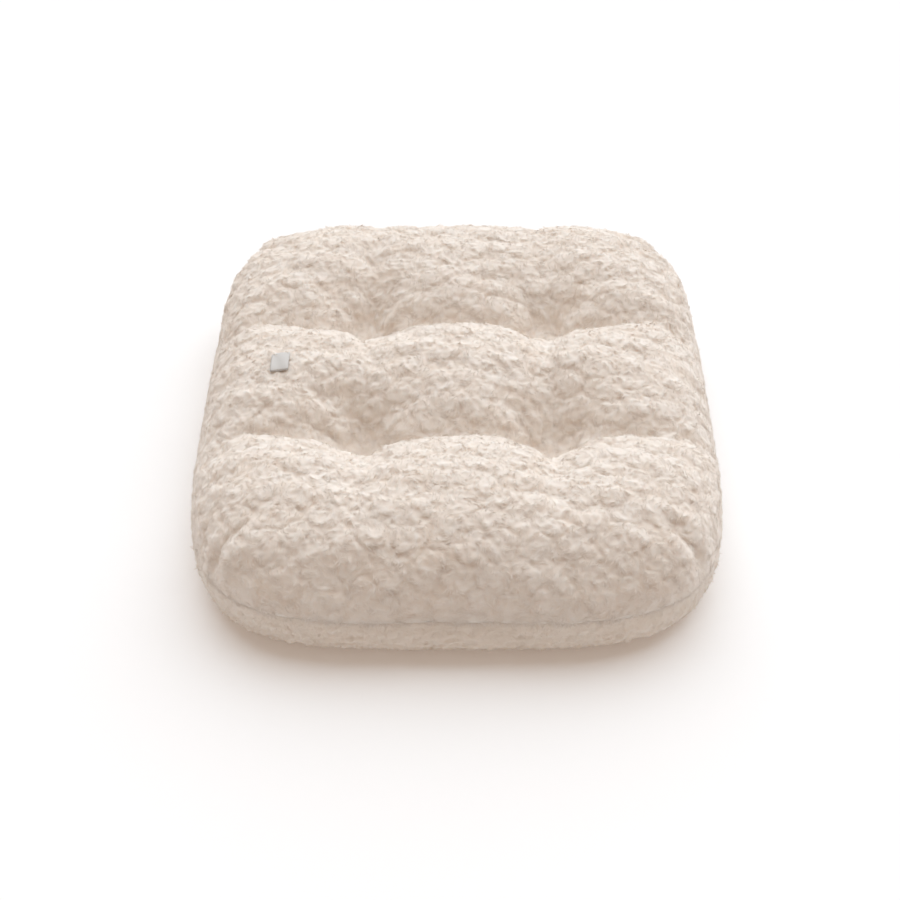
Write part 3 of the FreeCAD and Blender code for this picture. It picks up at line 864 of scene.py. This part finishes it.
@dataclass
class CurlField:
    """The curls of the plush: each a little rose of pile wound round its own middle."""

    points: np.ndarray
    normals: np.ndarray
    gap: float = 19 * MM
    radius: float = 12 * MM
    dome: float = 1.1 * MM
    ridge: float = 1.0 * MM
    crease: float = 0.3 * MM
    crease_width: float = 3.2 * MM
    blend: float = 7 * MM
    warp: float = 1.6 * MM
    wobble: float = 0.45 * MM
    seed: int = 7
    candidates: int = 26000

    def __post_init__(self) -> None:
        """Scatters the curls over the surface and gives each its own turn and phase."""
        draw = np.random.default_rng(self.seed)
        order = draw.permutation(len(self.points))[:self.candidates]
        places = self.points[order]
        free = np.ones(len(order), dtype=bool)
        chosen: list[int] = []
        for number, index in enumerate(order.tolist()):
            if not free[number]:
                continue
            chosen.append(index)
            gap = self.gap * draw.uniform(0.8, 1.25)
            free[np.linalg.norm(places - places[number], axis=1) < gap] = False
        self.centres = self.points[chosen]
        up = unit(self.normals[chosen])
        side = np.cross(up, unit(draw.normal(size=up.shape)))
        self.first = unit(side)
        self.second = np.cross(up, self.first)
        count = len(chosen)
        self.turns = draw.choice([turn.value for turn in Turn], size=count)
        self.arms = draw.choice([1, 2, 2], size=count)
        self.winding = 2.0 * math.pi * draw.uniform(1.0, 1.5, size=count)
        self.phases = draw.uniform(0.0, 2.0 * math.pi, size=count)
        self.tree = kdtree.KDTree(count)
        for number, centre in enumerate(self.centres):
            self.tree.insert(Vector(centre), number)
        self.tree.balance()
        self.warps = [Ripples(26 * MM, self.seed + 11 + axis) for axis in range(3)]
        self.wobbles = [Ripples(9 * MM, self.seed + 31 + axis) for axis in range(3)]

    def nearest(self, points: np.ndarray) -> tuple[np.ndarray, np.ndarray]:
        """The two nearest curls of each point and how far they are."""
        which = np.empty((len(points), 2), dtype=np.int64)
        away = np.empty((len(points), 2))
        find = self.tree.find_n
        for number, point in enumerate(points.tolist()):
            found = find(point, 2)
            which[number] = found[0][1], found[1][1]
            away[number] = found[0][2], found[1][2]
        return which, away

    def curl(self, points: np.ndarray, which: np.ndarray) -> tuple[np.ndarray, np.ndarray, np.ndarray]:
        """One curl's shape at each point.

        Args:
            points: where it is wanted.
            which: the curl that each point belongs to.

        Returns:
            The height, how high on a ridge the point is, and the way the pile lies.
        """
        offset = points - self.centres[which]
        first, second = self.first[which], self.second[which]
        u = (offset * first).sum(axis=1)
        v = (offset * second).sum(axis=1)
        distance = np.hypot(u, v) + 1e-6
        share = distance / self.radius
        turn, arms = self.turns[which], self.arms[which]
        wind = self.winding[which]
        phase = turn * arms * np.arctan2(v, u) + wind * share + self.phases[which]
        climb = np.mod(phase / (2.0 * math.pi), 1.0)
        # The ridge climbs slowly, falls steeply, and is lower at the heart and past the rim.
        crest = climb ** 1.3 * smoothstep(1.0, 0.68, climb)
        inside = 0.45 + 0.55 * smoothstep(0.05, 0.35, share)
        inside = inside * (1.0 - 0.5 * smoothstep(0.9, 1.3, share))
        height = self.dome * (1.0 - 0.55 * np.minimum(share, 1.4) ** 2) + self.ridge * crest * inside
        out_u, out_v = u / distance, v / distance
        lie_round = wind / self.radius
        lie_out = -turn * arms / distance
        way_u = -out_v * lie_round + out_u * lie_out
        way_v = out_u * lie_round + out_v * lie_out
        way = unit(first * way_u[:, None] + second * way_v[:, None])
        outward = (out_u * way_u + out_v * way_v) < 0.0
        way[outward] *= -1.0
        return height, crest, way

    def at(self, points: np.ndarray) -> tuple[np.ndarray, np.ndarray, np.ndarray]:
        """The pile at each point: its height, its ridge share and the way it lies."""
        warp = np.column_stack([ripple.at(points) for ripple in self.warps]) * self.warp
        wobble = np.column_stack([ripple.at(points) for ripple in self.wobbles]) * self.wobble
        moved = points + warp + wobble
        which, away = self.nearest(moved)
        edge = away[:, 1] - away[:, 0]
        own = 0.5 + 0.5 * smoothstep(0.0, self.blend, edge)
        height_a, crest_a, way_a = self.curl(moved, which[:, 0])
        height_b, crest_b, way_b = self.curl(moved, which[:, 1])
        height = own * height_a + (1.0 - own) * height_b
        height = height - self.crease * np.exp(-((edge / self.crease_width) ** 2))
        crest = own * crest_a + (1.0 - own) * crest_b
        way = unit(own[:, None] * way_a + (1.0 - own[:, None]) * way_b)
        return height, crest, way


LOCK_SIDES = 3
LOCK_POINTS = 2 * LOCK_SIDES + 1


def lock_faces() -> np.ndarray:
    """The faces of one lock: a closed root, two rings of corners and a tip."""
    ring = [(corner, (corner + 1) % LOCK_SIDES) for corner in range(LOCK_SIDES)]
    sides = []
    for here, after in ring:
        sides.append((here, after, after + LOCK_SIDES))
        sides.append((here, after + LOCK_SIDES, here + LOCK_SIDES))
    tip = LOCK_POINTS - 1
    tips = [(here + LOCK_SIDES, after + LOCK_SIDES, tip) for here, after in ring]
    return np.array([*sides, *tips, (0, 2, 1)])


@dataclass
class Locks:
    """Many loose locks of pile, each three-sided, a little flat and drawn out to a point."""

    length: float
    thickness: float
    lift: float
    lift_on_crest: float
    swing: float
    draw: np.random.Generator
    lift_spread: float = 0.09
    droop: float = 0.35
    root_depth: float = 0.8 * MM
    breadth: float = 1.35
    height: float = 0.45
    taper: float = 0.8
    floor_gap: float = 0.3 * MM

    def piece(self, name: str, at: np.ndarray, up: np.ndarray, way: np.ndarray,
              crest: np.ndarray) -> bpy.types.Object:
        """One piece of locks.

        Args:
            name: the piece's name.
            at: where each lock starts.
            up: out of the cloth there.
            way: the way the pile lies there.
            crest: how high on a ridge of its curl it starts, from 0 to 1.

        Returns:
            The piece, with its depth in the pile kept on its points; the material paints shade from it,
            so the roots come out darker.
        """
        draw, count = self.draw, len(at)
        one = (count, 1)
        across = np.cross(up, way)
        length = self.length * draw.uniform(0.55, 1.2, size=one)
        lift = self.lift + self.lift_on_crest * crest[:, None]
        lift = lift + draw.normal(scale=self.lift_spread, size=one)
        swing = draw.normal(scale=self.swing, size=one)
        curl = draw.choice([-1.0, 1.0], size=one) * draw.uniform(0.1, 0.5, size=one)
        first_way = unit(way + across * swing + up * lift)
        second_way = unit(way + across * (swing + curl) + up * (lift * self.droop))
        root = at - up * self.root_depth
        middle = root + first_way * length * 0.5
        tip = middle + second_way * length * 0.5
        thick = self.thickness * draw.uniform(0.7, 1.25, size=one)
        rings = []
        for centre, heading, width in ((root, first_way, 1.0), (middle, second_way, self.taper)):
            side = unit(np.cross(heading, up + 0.01))
            lifted = np.cross(side, heading)
            for corner in range(LOCK_SIDES):
                angle = 2.0 * math.pi * (corner / LOCK_SIDES + 0.25)
                aside = side * (self.breadth * math.cos(angle))
                above = lifted * (self.height * math.sin(angle))
                rings.append(centre + (aside + above) * thick * width)
        points = np.stack([*rings, tip], axis=1).reshape(-1, 3)
        points[:, 2] = np.maximum(points[:, 2], self.floor_gap)
        starts = np.arange(count)[:, None, None] * LOCK_POINTS
        piece = object_from(name, points, (lock_faces()[None, :, :] + starts).reshape(-1, 3))
        # Painted shade: the pile number is lowest at the root, so each lock is darker where it goes down
        # into the pile.
        at_root, at_middle, at_tip = 0.35 + 0.35 * crest, 0.65 + 0.25 * crest, 0.9 + 0.1 * crest
        depth = [at_root] * LOCK_SIDES + [at_middle] * LOCK_SIDES + [at_tip]
        set_number(piece.data, "pile", np.stack(depth, axis=1).ravel())
        return piece


def scatter(mesh: bpy.types.Mesh, count: int, weight: np.ndarray,
            draw: np.random.Generator) -> tuple[np.ndarray, np.ndarray]:
    """Scatters places over a mesh.

    Args:
        mesh: the ground.
        count: how many places are wanted.
        weight: how thickly each face is covered.
        draw: the source of chance.

    Returns:
        The places and the way out of the mesh at each.
    """
    faces = len(mesh.polygons)
    areas = np.empty(faces)
    mesh.polygons.foreach_get("area", areas)
    ups = np.empty(faces * 3)
    mesh.polygons.foreach_get("normal", ups)
    share = areas * weight
    chosen = draw.choice(faces, size=count, replace=True, p=share / share.sum())
    up = unit(ups.reshape(-1, 3)[chosen])
    spread = np.cross(up, draw.normal(size=up.shape)) * (1.0 * MM)
    return face_centres(mesh)[chosen] + spread, up


def face_centres(mesh: bpy.types.Mesh) -> np.ndarray:
    """The middle of each face, one row each."""
    flat = np.empty(len(mesh.polygons) * 3)
    mesh.polygons.foreach_get("center", flat)
    return flat.reshape(-1, 3)


def crowding(from_seam: np.ndarray) -> np.ndarray:
    """How thickly the locks stand at a height from the seam: more beside it, 1 away from it."""
    return 1.0 + 2.5 * np.exp(-((from_seam / (4 * MM)) ** 2))


SEAM_GAP = 0.3 * MM
SEAM_ALLOWANCE = 9 * MM


@dataclass
class PlushTop:
    """The plush panel over the top and the sides, with its curls and loose locks."""

    form: StuffedForm
    finish: PlushFinish
    levels: int = 2
    pile: float = 2.0 * MM
    lump: float = 0.45 * MM
    drift: float = 1.2 * MM
    seam_share: float = 0.3
    seam_run: float = 26 * MM
    hang: float = 1.4
    hang_run: float = 5 * MM
    lock_sets: int = 6
    locks_in_set: int = 19000
    lock_length: float = 6.0 * MM
    lock_thickness: float = 0.26 * MM

    def build(self) -> list[bpy.types.Object]:
        """Builds the panel and its locks and returns the pieces."""
        coarse = self.form.half("plush_coarse", True, 0)
        self.curls = CurlField(points_of(coarse.data), normals_of(coarse.data))
        bpy.data.objects.remove(coarse)
        self.panel = self.form.half("plush_top", True, self.levels)
        self.raise_pile()
        locks = self.grow_locks()
        close_along_seam(self.panel, self.form.seam_height + SEAM_GAP, SEAM_ALLOWANCE)
        dress(self.panel, self.finish.material("plush", PANEL_SCATTER))
        loose = self.finish.material("plush_locks")
        for piece in locks:
            dress(piece, loose)
        shade_smooth(self.panel)
        for piece in [self.panel, *locks]:
            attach(piece, "root")
        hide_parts("plush_top_panel", "fibre_fill")
        return [self.panel, *locks]

    def fade(self, points: np.ndarray, seam_share: float, run: float) -> np.ndarray:
        """Less pile at the ties and along the seam.

        Args:
            points: where it is wanted.
            seam_share: how much of it is left at the seam.
            run: how far above the seam it is full.

        Returns:
            The share of the pile's full height.
        """
        away = np.min([
            np.hypot(points[:, 0] - x, points[:, 1] - y) for x, y in self.form.tufts
        ], axis=0)
        at_ties = 0.5 + 0.5 * smoothstep(4 * MM, 18 * MM, away)
        rise = points[:, 2] - self.form.seam_height
        return at_ties * (seam_share + (1.0 - seam_share) * smoothstep(0.0, run, rise))

    def raise_pile(self) -> None:
        """Raises the curls and the small lumps of the pile out of the cloth."""
        mesh = self.panel.data
        points, normals = points_of(mesh), normals_of(mesh)
        height, crest, way = self.curls.at(points)
        lumps = Ripples(12 * MM, 91).at(points) * 0.7 + Ripples(6 * MM, 92).at(points) * 0.4
        fade = self.fade(points, self.seam_share, self.seam_run)
        rise = self.pile * self.fade(points, 1.0, 8 * MM) + (height + self.lump * lumps) * fade
        drift = way * (crest * self.drift * fade)[:, None]
        set_points(mesh, points + normals * rise[:, None] + drift)
        # How high each point stands in the pile; the material paints shade from it, darker and warmer in
        # the hollows between the curls.
        share = np.clip((height + self.lump * lumps + 1.2 * MM) / (4.2 * MM), 0.0, 1.0)
        set_number(mesh, "pile", share)

    def grow_locks(self) -> list[bpy.types.Object]:
        """Loose locks that lie along the curls, in a few pieces."""
        mesh = self.panel.data
        draw = np.random.default_rng(23)
        weight = crowding(face_centres(mesh)[:, 2] - self.form.seam_height)
        at, up = scatter(mesh, self.lock_sets * self.locks_in_set, weight, draw)
        _, crest, way = self.curls.at(at)
        hang = np.exp(-(((at[:, 2] - self.form.seam_height) / self.hang_run) ** 2))
        way[:, 2] -= self.hang * hang
        way = unit(way - up * (way * up).sum(axis=1, keepdims=True))
        locks = Locks(self.lock_length, self.lock_thickness, lift=0.27, lift_on_crest=0.24,
                      swing=0.35, draw=draw)
        pieces = []
        for number in range(self.lock_sets):
            part = slice(number * self.locks_in_set, (number + 1) * self.locks_in_set)
            name = f"plush_locks_{number + 1}"
            pieces.append(locks.piece(name, at[part], up[part], way[part], crest[part]))
        return pieces


# ----------------------------------------------------------------- the fleece


@dataclass
class FleeceBase:
    """The smooth fleece panel under the cushion and up to the side seam."""

    form: StuffedForm
    finish: FleeceFinish
    overlap: float = 1.5 * MM
    pile: float = 2.0 * MM
    lump: float = 0.9 * MM
    tucked: float = 0.5 * MM
    nap_locks: int = 19000
    nap_length: float = 4.5 * MM
    nap_thickness: float = 0.24 * MM

    def build(self) -> list[bpy.types.Object]:
        """Builds the panel and the loose nap on its side, and returns both."""
        panel = self.form.half("fleece_base", False, 1, self.overlap)
        mesh = panel.data
        points, normals = points_of(mesh), normals_of(mesh)
        lumps = Ripples(11 * MM, 51).at(points) * 0.5 + Ripples(6.5 * MM, 52).at(points) * 0.6
        free = smoothstep(2 * MM, 12 * MM, points[:, 2])
        below = smoothstep(0.0, 14 * MM, self.form.seam_height - points[:, 2])
        tucked = self.tucked * smoothstep(2 * MM, -1 * MM, self.form.seam_height - points[:, 2])
        rise = (self.pile + self.lump * lumps * below - tucked) * free
        points = points + normals * rise[:, None]
        points[:, 2] = np.maximum(points[:, 2], 0.0)
        set_points(mesh, points)
        nap = self.raise_nap(mesh)
        close_along_seam(panel, self.form.seam_height - SEAM_GAP, SEAM_ALLOWANCE)
        dress(panel, self.finish.material("fleece", PANEL_SCATTER))
        dress(nap, self.finish.material("fleece_nap"))
        shade_smooth(panel)
        for piece in (panel, nap):
            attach(piece, "root")
        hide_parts("fleece_base_panel")
        return [panel, nap]

    def raise_nap(self, mesh: bpy.types.Mesh) -> bpy.types.Object:
        """Short loose nap on the part of the panel that shows."""
        draw = np.random.default_rng(61)
        height = face_centres(mesh)[:, 2]
        weight = smoothstep(3 * MM, 9 * MM, height) * crowding(self.form.seam_height - height)
        at, up = scatter(mesh, self.nap_locks, weight, draw)
        way = unit(np.cross(up, draw.normal(size=up.shape)))
        locks = Locks(self.nap_length, self.nap_thickness, lift=0.30, lift_on_crest=0.2,
                      swing=0.3, draw=draw)
        return locks.piece("fleece_nap", at, up, way, draw.uniform(0.0, 1.0, size=len(at)))


# ------------------------------------------------------------------ the label


@dataclass
class Label:
    """The small blank label that is sewn by its two short ends on the pile."""

    width: float
    depth: float
    at: tuple[float, float]
    ground: bpy.types.Object
    stand: float = 1.2 * MM
    above_pile: float = 1.3 * MM
    wave: float = 0.35 * MM
    thickness: float = 0.7 * MM
    cells: int = 12
    probe: float = 11 * MM
    stitches_in_row: int = 6
    stitch_margin: float = 1.6 * MM
    stitch_rise: float = 1.7 * MM
    stitch_halves: tuple[float, float, float] = (0.85 * MM, 0.3 * MM, 0.3 * MM)

    def lie(self, x: float, y: float) -> Vector:
        """Where the pile is under a point of the plan."""
        hit, place, _, _ = self.ground.ray_cast(Vector((x, y, 0.4)), Vector((0, 0, -1)))
        if not hit:
            raise ValueError("the label lies outside the cushion")
        return place

    def frame(self) -> tuple[Vector, Vector, Vector, Vector]:
        """The label's middle and its three directions on the swell that it lies on."""
        middle = Vector((0.0, 0.0, 0.0))
        spots = {}
        for name, east, north in (("w", -1, 0), ("e", 1, 0), ("s", 0, -1), ("n", 0, 1)):
            spots[name] = self.lie(self.at[0] + east * self.probe, self.at[1] + north * self.probe)
            middle += spots[name] / 4.0
        along_x = (spots["e"] - spots["w"]).normalized()
        up = along_x.cross(spots["n"] - spots["s"]).normalized()
        along_y = up.cross(along_x)
        return middle, along_x, along_y, up

    def build(self, cloth: bpy.types.Material, thread: bpy.types.Material) -> list[bpy.types.Object]:
        """Builds the label and its stitches.

        Args:
            cloth: the label's material.
            thread: its stitches' material.

        Returns:
            The two pieces.
        """
        middle, along_x, along_y, up = self.frame()
        bpy.ops.object.select_all(action="DESELECT")
        bpy.ops.mesh.primitive_grid_add(x_subdivisions=self.cells, y_subdivisions=self.cells,
                                        size=1.0, location=(0.0, 0.0, 0.0))
        label = bpy.context.object
        label.name = "woven_label_cloth"
        label.data.name = label.name
        flat = points_of(label.data)
        sag = self.stand * (1.0 - 0.8 * (2.0 * np.abs(flat[:, 1])) ** 3)
        wave = self.wave * np.sin(7.0 * flat[:, 0] + 3.0 * flat[:, 1])
        lift = sag + wave + self.above_pile
        placed = (
            np.array(middle)
            + np.outer(flat[:, 0] * self.width, along_x)
            + np.outer(flat[:, 1] * self.depth, along_y)
            + np.outer(lift, up)
        )
        set_points(label.data, placed)
        solid = label.modifiers.new("tape", "SOLIDIFY")
        solid.thickness = self.thickness
        solid.offset = -1.0
        apply_modifier(label, solid)
        dress(label, cloth)
        shade_smooth(label)
        stitches = self.stitch(middle, along_x, along_y, up, thread)
        for piece, slot_name, node in ((label, "label", "woven_label"),
                                       (stitches, "thread", "label_thread")):
            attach(piece, "root")
            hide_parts(node)
        return [label, stitches]

    def stitch(self, middle: Vector, along_x: Vector, along_y: Vector, up: Vector,
               thread: bpy.types.Material) -> bpy.types.Object:
        """The running stitches near the label's short ends, as one piece."""
        made = []
        for end in (-1.0, 1.0):
            to_end = along_y * (end * (self.depth / 2.0 - self.stitch_margin))
            for number in range(self.stitches_in_row):
                share = (number + 0.5) / self.stitches_in_row - 0.5
                centre = (middle + along_x * (share * self.width * 0.9) + to_end
                          + up * self.stitch_rise)
                bpy.ops.object.select_all(action="DESELECT")
                bpy.ops.mesh.primitive_uv_sphere_add(segments=8, ring_count=6, radius=1.0)
                bead = bpy.context.object
                ball = points_of(bead.data) * np.array(self.stitch_halves)
                placed = (
                    np.array(centre)
                    + np.outer(ball[:, 0], along_x)
                    + np.outer(ball[:, 1], along_y)
                    + np.outer(ball[:, 2], up)
                )
                set_points(bead.data, placed)
                made.append(bead)
        bpy.ops.object.select_all(action="DESELECT")
        for bead in made:
            bead.select_set(True)
        bpy.context.view_layer.objects.active = made[0]
        bpy.ops.object.join()
        stitches = bpy.context.object
        stitches.name = "woven_label_stitches"
        stitches.data.name = stitches.name
        dress(stitches, thread)
        shade_smooth(stitches)
        return stitches


# ----------------------------------------------------------------- the studio


@dataclass
class Studio:
    """White floor, one broad soft light from above and behind, and the camera."""

    distance: float = 1.75
    elevation: float = 36.8
    target: float = 56 * MM
    sensor: float = 36.0
    lens: float = 79.0
    shift_x: float = -0.00778
    shift_y: float = -0.05556
    sun: float = 3.2
    sun_spread: float = 92.0
    sun_tilt: float = -40.0
    sun_turn: float = -12.0
    sun_colour: Colour = (0.865, 0.94, 1.0)
    ambient: float = 0.37
    ambient_colour: Colour = (1.0, 0.79, 0.63)
    floor_size: float = 80.0
    floor_gap: float = 0.3 * MM

    def build(self) -> None:
        """Adds the floor, the light and the camera."""
        self.lay_floor()
        self.light()
        self.aim()

    def lay_floor(self) -> None:
        """A wide plain floor just under the cushion."""
        bpy.ops.object.select_all(action="DESELECT")
        bpy.ops.mesh.primitive_plane_add(size=self.floor_size,
                                         location=(0.0, 0.0, -self.floor_gap))
        floor = bpy.context.object
        floor.name = "studio_floor"
        dress(floor, FloorFinish().material())
        floor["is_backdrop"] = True

    def light(self) -> None:
        """The sun-like soft light and the pale room round it."""
        lamp = bpy.data.lights.new("broad_light", "SUN")
        lamp.energy = self.sun
        lamp.angle = math.radians(self.sun_spread)
        lamp.color = self.sun_colour
        sun = bpy.data.objects.new("broad_light", lamp)
        sun.rotation_euler = (math.radians(self.sun_tilt), 0.0, math.radians(self.sun_turn))
        bpy.context.scene.collection.objects.link(sun)
        world = bpy.data.worlds.new("room")
        world.use_nodes = True
        background = world.node_tree.nodes["Background"]
        background.inputs["Color"].default_value = rgba(self.ambient_colour)
        background.inputs["Strength"].default_value = self.ambient
        bpy.context.scene.world = world
        bpy.context.scene.view_settings.view_transform = "Standard"

    def aim(self) -> None:
        """The camera, in front and above."""
        angle = math.radians(self.elevation)
        camera_data = bpy.data.cameras.new("camera")
        camera_data.sensor_width = self.sensor
        camera_data.lens = self.lens
        camera_data.shift_x = self.shift_x
        camera_data.shift_y = self.shift_y
        camera = bpy.data.objects.new("camera", camera_data)
        camera.location = (
            0.0,
            -self.distance * math.cos(angle),
            self.target + self.distance * math.sin(angle),
        )
        camera.rotation_euler = (math.radians(90.0 - self.elevation), 0.0, 0.0)
        bpy.context.scene.collection.objects.link(camera)
        bpy.context.scene.camera = camera


# ------------------------------------------------------------------------ main


def tuft_places() -> list[tuple[float, float]]:
    """The middle of each tie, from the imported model."""
    places = []
    for row in ("front", "rear"):
        for side in ("left", "right"):
            low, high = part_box(f"tuft_tie_{row}_{side}")
            places.append(((low[0] + high[0]) / 2.0, (low[1] + high[1]) / 2.0))
    return places


def dress_threads(frame: dict[str, Any], material: bpy.types.Material) -> None:
    """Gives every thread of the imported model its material."""
    for name, node in frame["nodes"].items():
        if "thread" in name or "tie" in name:
            dress(node, material)
            LOG.info("thread dressed: %s", name)


def main() -> None:
    """Builds the cushion and its studio, and reports each piece."""
    logging.basicConfig(level=logging.INFO, format="%(message)s")
    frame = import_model()
    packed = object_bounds()
    low, high = packed
    plush_low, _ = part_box("plush_top_panel")
    side_room = 2.5 * MM
    top_room = 5 * MM
    form = StuffedForm(
        half_width=(high[0] - low[0]) / 2.0 - side_room,
        half_depth=(high[1] - low[1]) / 2.0 - side_room,
        height=high[2] - top_room,
        seam_height=plush_low[2],
        tufts=tuft_places(),
    )
    form.build()
    thread = ThreadFinish().material()
    dress_threads(frame, thread)
    pieces = PlushTop(form, PlushFinish()).build()
    pieces.extend(FleeceBase(form, FleeceFinish()).build())
    label_low, label_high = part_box("woven_label")
    label = Label(
        width=label_high[0] - label_low[0],
        depth=label_high[1] - label_low[1],
        at=((label_low[0] + label_high[0]) / 2.0, (label_low[1] + label_high[1]) / 2.0),
        ground=pieces[0],
    )
    bpy.context.view_layer.update()
    pieces.extend(label.build(LabelFinish().material(), thread))
    bpy.data.objects.remove(form.piece)
    Studio().build()
    for piece in pieces:
        LOG.info("%s: %d faces", piece.name, len(piece.data.polygons))


if __name__ == "__main__":
    main()
